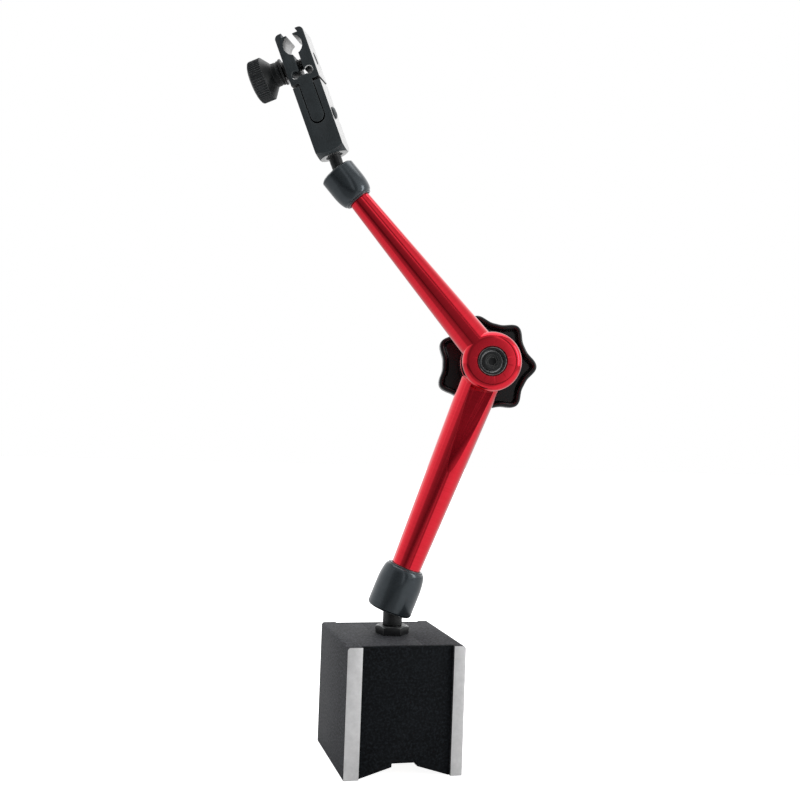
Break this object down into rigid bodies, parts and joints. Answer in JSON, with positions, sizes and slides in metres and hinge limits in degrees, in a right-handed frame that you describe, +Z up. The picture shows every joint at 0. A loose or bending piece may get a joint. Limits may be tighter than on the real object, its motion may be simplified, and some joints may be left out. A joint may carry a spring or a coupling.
{
  "type": "articulated magnetic indicator stand",
  "caption": "Magnetic base with on/off switch, two red arms locked by one elbow knob, ball joints at both ends and a fine-adjust stem clamp.",
  "frame": {"origin": "middle of the whole object's footprint box, on the plane of the base's feet", "axes": "+Z up; -Y out of the base's front face with the two ground strips; +X to the right seen from the front"},
  "size_m": [0.1402, 0.079, 0.3183],
  "materials": {
    "black_paint": "matt",
    "spacer_brass": "machined",
    "zinc_steel": "satin",
    "black_steel": "satin",
    "rotor_aluminium": "machined",
    "magnet": "matt",
    "black_plastic": "satin",
    "cap_gunmetal": "satin",
    "red_anodised": "satin",
    "black_anodised": "matt"
  },
  "bodies": {
    "base": {"base_pole_left": "black_paint", "base_pole_right": "black_paint", "base_spacer_top": "spacer_brass", "base_spacer_bottom": "spacer_brass", "front_cover_panel": "black_paint", "rear_cover_panel": "black_paint", "rear_panel_screw_1": "zinc_steel", "rear_panel_screw_2": "zinc_steel", "rear_panel_screw_3": "zinc_steel", "rear_panel_screw_4": "zinc_steel", "lock_nut": "black_steel"},
    "magnet_switch": {"magnet_rotor": "rotor_aluminium", "magnet_block": "magnet", "switch_knob": "black_plastic", "switch_knob_screw": "zinc_steel"},
    "lower_ball_stud": {"lower_ball_stud": "black_steel"},
    "lower_ball_cup": {"lower_ball_cup": "spacer_brass"},
    "lower_arm": {"lower_arm": "red_anodised", "lower_socket_cap": "cap_gunmetal"},
    "lower_push_rod": {"lower_push_rod": "zinc_steel"},
    "lower_lock_cone": {"lower_lock_cone": "zinc_steel"},
    "knob_washer": {"knob_washer": "zinc_steel"},
    "elbow_knob": {"elbow_knob": "black_plastic", "knob_insert": "spacer_brass"},
    "upper_arm": {"upper_arm": "red_anodised", "upper_socket_cap": "cap_gunmetal", "hub_guide_ring": "black_steel", "hub_washer": "spacer_brass"},
    "tie_bolt": {"tie_bolt": "black_steel", "upper_lock_cone": "zinc_steel"},
    "upper_push_rod": {"upper_push_rod": "zinc_steel"},
    "upper_ball_cup": {"upper_ball_cup": "spacer_brass"},
    "upper_ball_stud": {"upper_ball_stud": "black_steel"},
    "clamp_head": {"head_fork": "black_anodised", "jaw_pivot_screw": "black_steel"},
    "stem_clamp": {"stem_clamp_jaw": "black_anodised"},
    "fine_adjust": {"fine_adjust_screw": "zinc_steel", "fine_adjust_knob": "black_steel"},
    "clamp_washer": {"clamp_washer": "black_steel", "clamp_collar": "black_steel"},
    "clamp_knob": {"clamp_knob": "black_anodised", "clamp_screw": "black_steel"}
  },
  "joints": [
    {"name": "magnet_switch_turn", "type": "hinge", "parent": "base", "child": "magnet_switch", "pos_m": [0.00375, 0.02646, 0.025], "axis": [0, 1, 0], "range_deg": [0, 90]},
    {"name": "lower_ball_swivel", "type": "hinge", "parent": "base", "child": "lower_ball_stud", "pos_m": [0.00425, -0.00314, 0.0705], "axis": [0, 0, 1], "continuous": true},
    {"name": "lower_ball_lean", "type": "hinge", "parent": "lower_ball_stud", "child": "lower_ball_cup", "pos_m": [0.00425, -0.00314, 0.0705], "axis": [0.2546, 0.967, 0], "range_deg": [-45, 5]},
    {"name": "lower_arm_twist", "type": "hinge", "parent": "lower_ball_cup", "child": "lower_arm", "pos_m": [0.00425, -0.00314, 0.0705], "axis": [0.3311, -0.0872, 0.9396], "continuous": true},
    {"name": "lower_rod_slide", "type": "slide", "parent": "lower_arm", "child": "lower_push_rod", "axis": [0.3311, -0.0872, 0.9396], "range_m": [0, 0.0005]},
    {"name": "lower_cone_slide", "type": "slide", "parent": "lower_arm", "child": "lower_lock_cone", "axis": [0.2546, 0.967, 0], "range_m": [0, 0.0005]},
    {"name": "knob_washer_slide", "type": "slide", "parent": "lower_arm", "child": "knob_washer", "axis": [0.2546, 0.967, 0], "range_m": [0, 0.0005]},
    {"name": "elbow_knob_turn", "type": "hinge", "parent": "knob_washer", "child": "elbow_knob", "pos_m": [0.04177, -0.01302, 0.17698], "axis": [0.2546, 0.967, 0], "range_deg": [0, 360]},
    {"name": "elbow_fold", "type": "hinge", "parent": "lower_arm", "child": "upper_arm", "pos_m": [0.04177, -0.01302, 0.17698], "axis": [0.2546, 0.967, 0], "range_deg": [-75, 150]},
    {"name": "tie_bolt_slide", "type": "slide", "parent": "upper_arm", "child": "tie_bolt", "axis": [0.2546, 0.967, 0], "range_m": [-0.0005, 0]},
    {"name": "upper_rod_slide", "type": "slide", "parent": "upper_arm", "child": "upper_push_rod", "axis": [0.6351, -0.1672, -0.7541], "range_m": [0, 0.0005]},
    {"name": "upper_ball_twist", "type": "hinge", "parent": "upper_arm", "child": "upper_ball_cup", "pos_m": [-0.0278, -0.01238, 0.25443], "axis": [-0.6351, 0.1672, 0.7541], "continuous": true},
    {"name": "upper_ball_tilt", "type": "hinge", "parent": "upper_ball_cup", "child": "upper_ball_stud", "pos_m": [-0.0278, -0.01238, 0.25443], "axis": [0.2546, 0.967, 0], "range_deg": [-46.3, 7]},
    {"name": "head_swivel", "type": "hinge", "parent": "upper_ball_stud", "child": "clamp_head", "pos_m": [-0.0278, -0.01238, 0.25443], "axis": [-0.3536, 0.0931, 0.9307], "continuous": true},
    {"name": "jaw_rock", "type": "hinge", "parent": "clamp_head", "child": "stem_clamp", "pos_m": [-0.03841, -0.01194, 0.2798], "axis": [0.8457, -0.3933, 0.3607], "range_deg": [-2, 5]},
    {"name": "fine_screw_slide", "type": "slide", "parent": "clamp_head", "child": "fine_adjust", "axis": [0.3997, 0.9147, 0.0604], "range_m": [-0.0008, 0.00032]},
    {"name": "clamp_washer_slide", "type": "slide", "parent": "stem_clamp", "child": "clamp_washer", "axis": [-0.8457, 0.3933, -0.3607], "range_m": [0, 0.00121]},
    {"name": "clamp_knob_turn", "type": "hinge", "parent": "clamp_washer", "child": "clamp_knob", "pos_m": [-0.04655, -0.00745, 0.30376], "axis": [-0.8457, 0.3933, -0.3607], "range_deg": [0, 540]}
  ],
  "couplings": [
    {"joint": "lower_rod_slide", "follows": "elbow_knob_turn", "m_per_rad": 0.000079577},
    {"joint": "lower_cone_slide", "follows": "elbow_knob_turn", "m_per_rad": 0.000079577},
    {"joint": "knob_washer_slide", "follows": "elbow_knob_turn", "m_per_rad": 0.000079577},
    {"joint": "tie_bolt_slide", "follows": "elbow_knob_turn", "m_per_rad": -0.000079577},
    {"joint": "upper_rod_slide", "follows": "elbow_knob_turn", "m_per_rad": 0.000079577},
    {"joint": "fine_screw_slide", "follows": "jaw_rock", "m_per_rad": -0.0091},
    {"joint": "clamp_washer_slide", "follows": "clamp_knob_turn", "m_per_rad": 0.00012732}
  ]
}
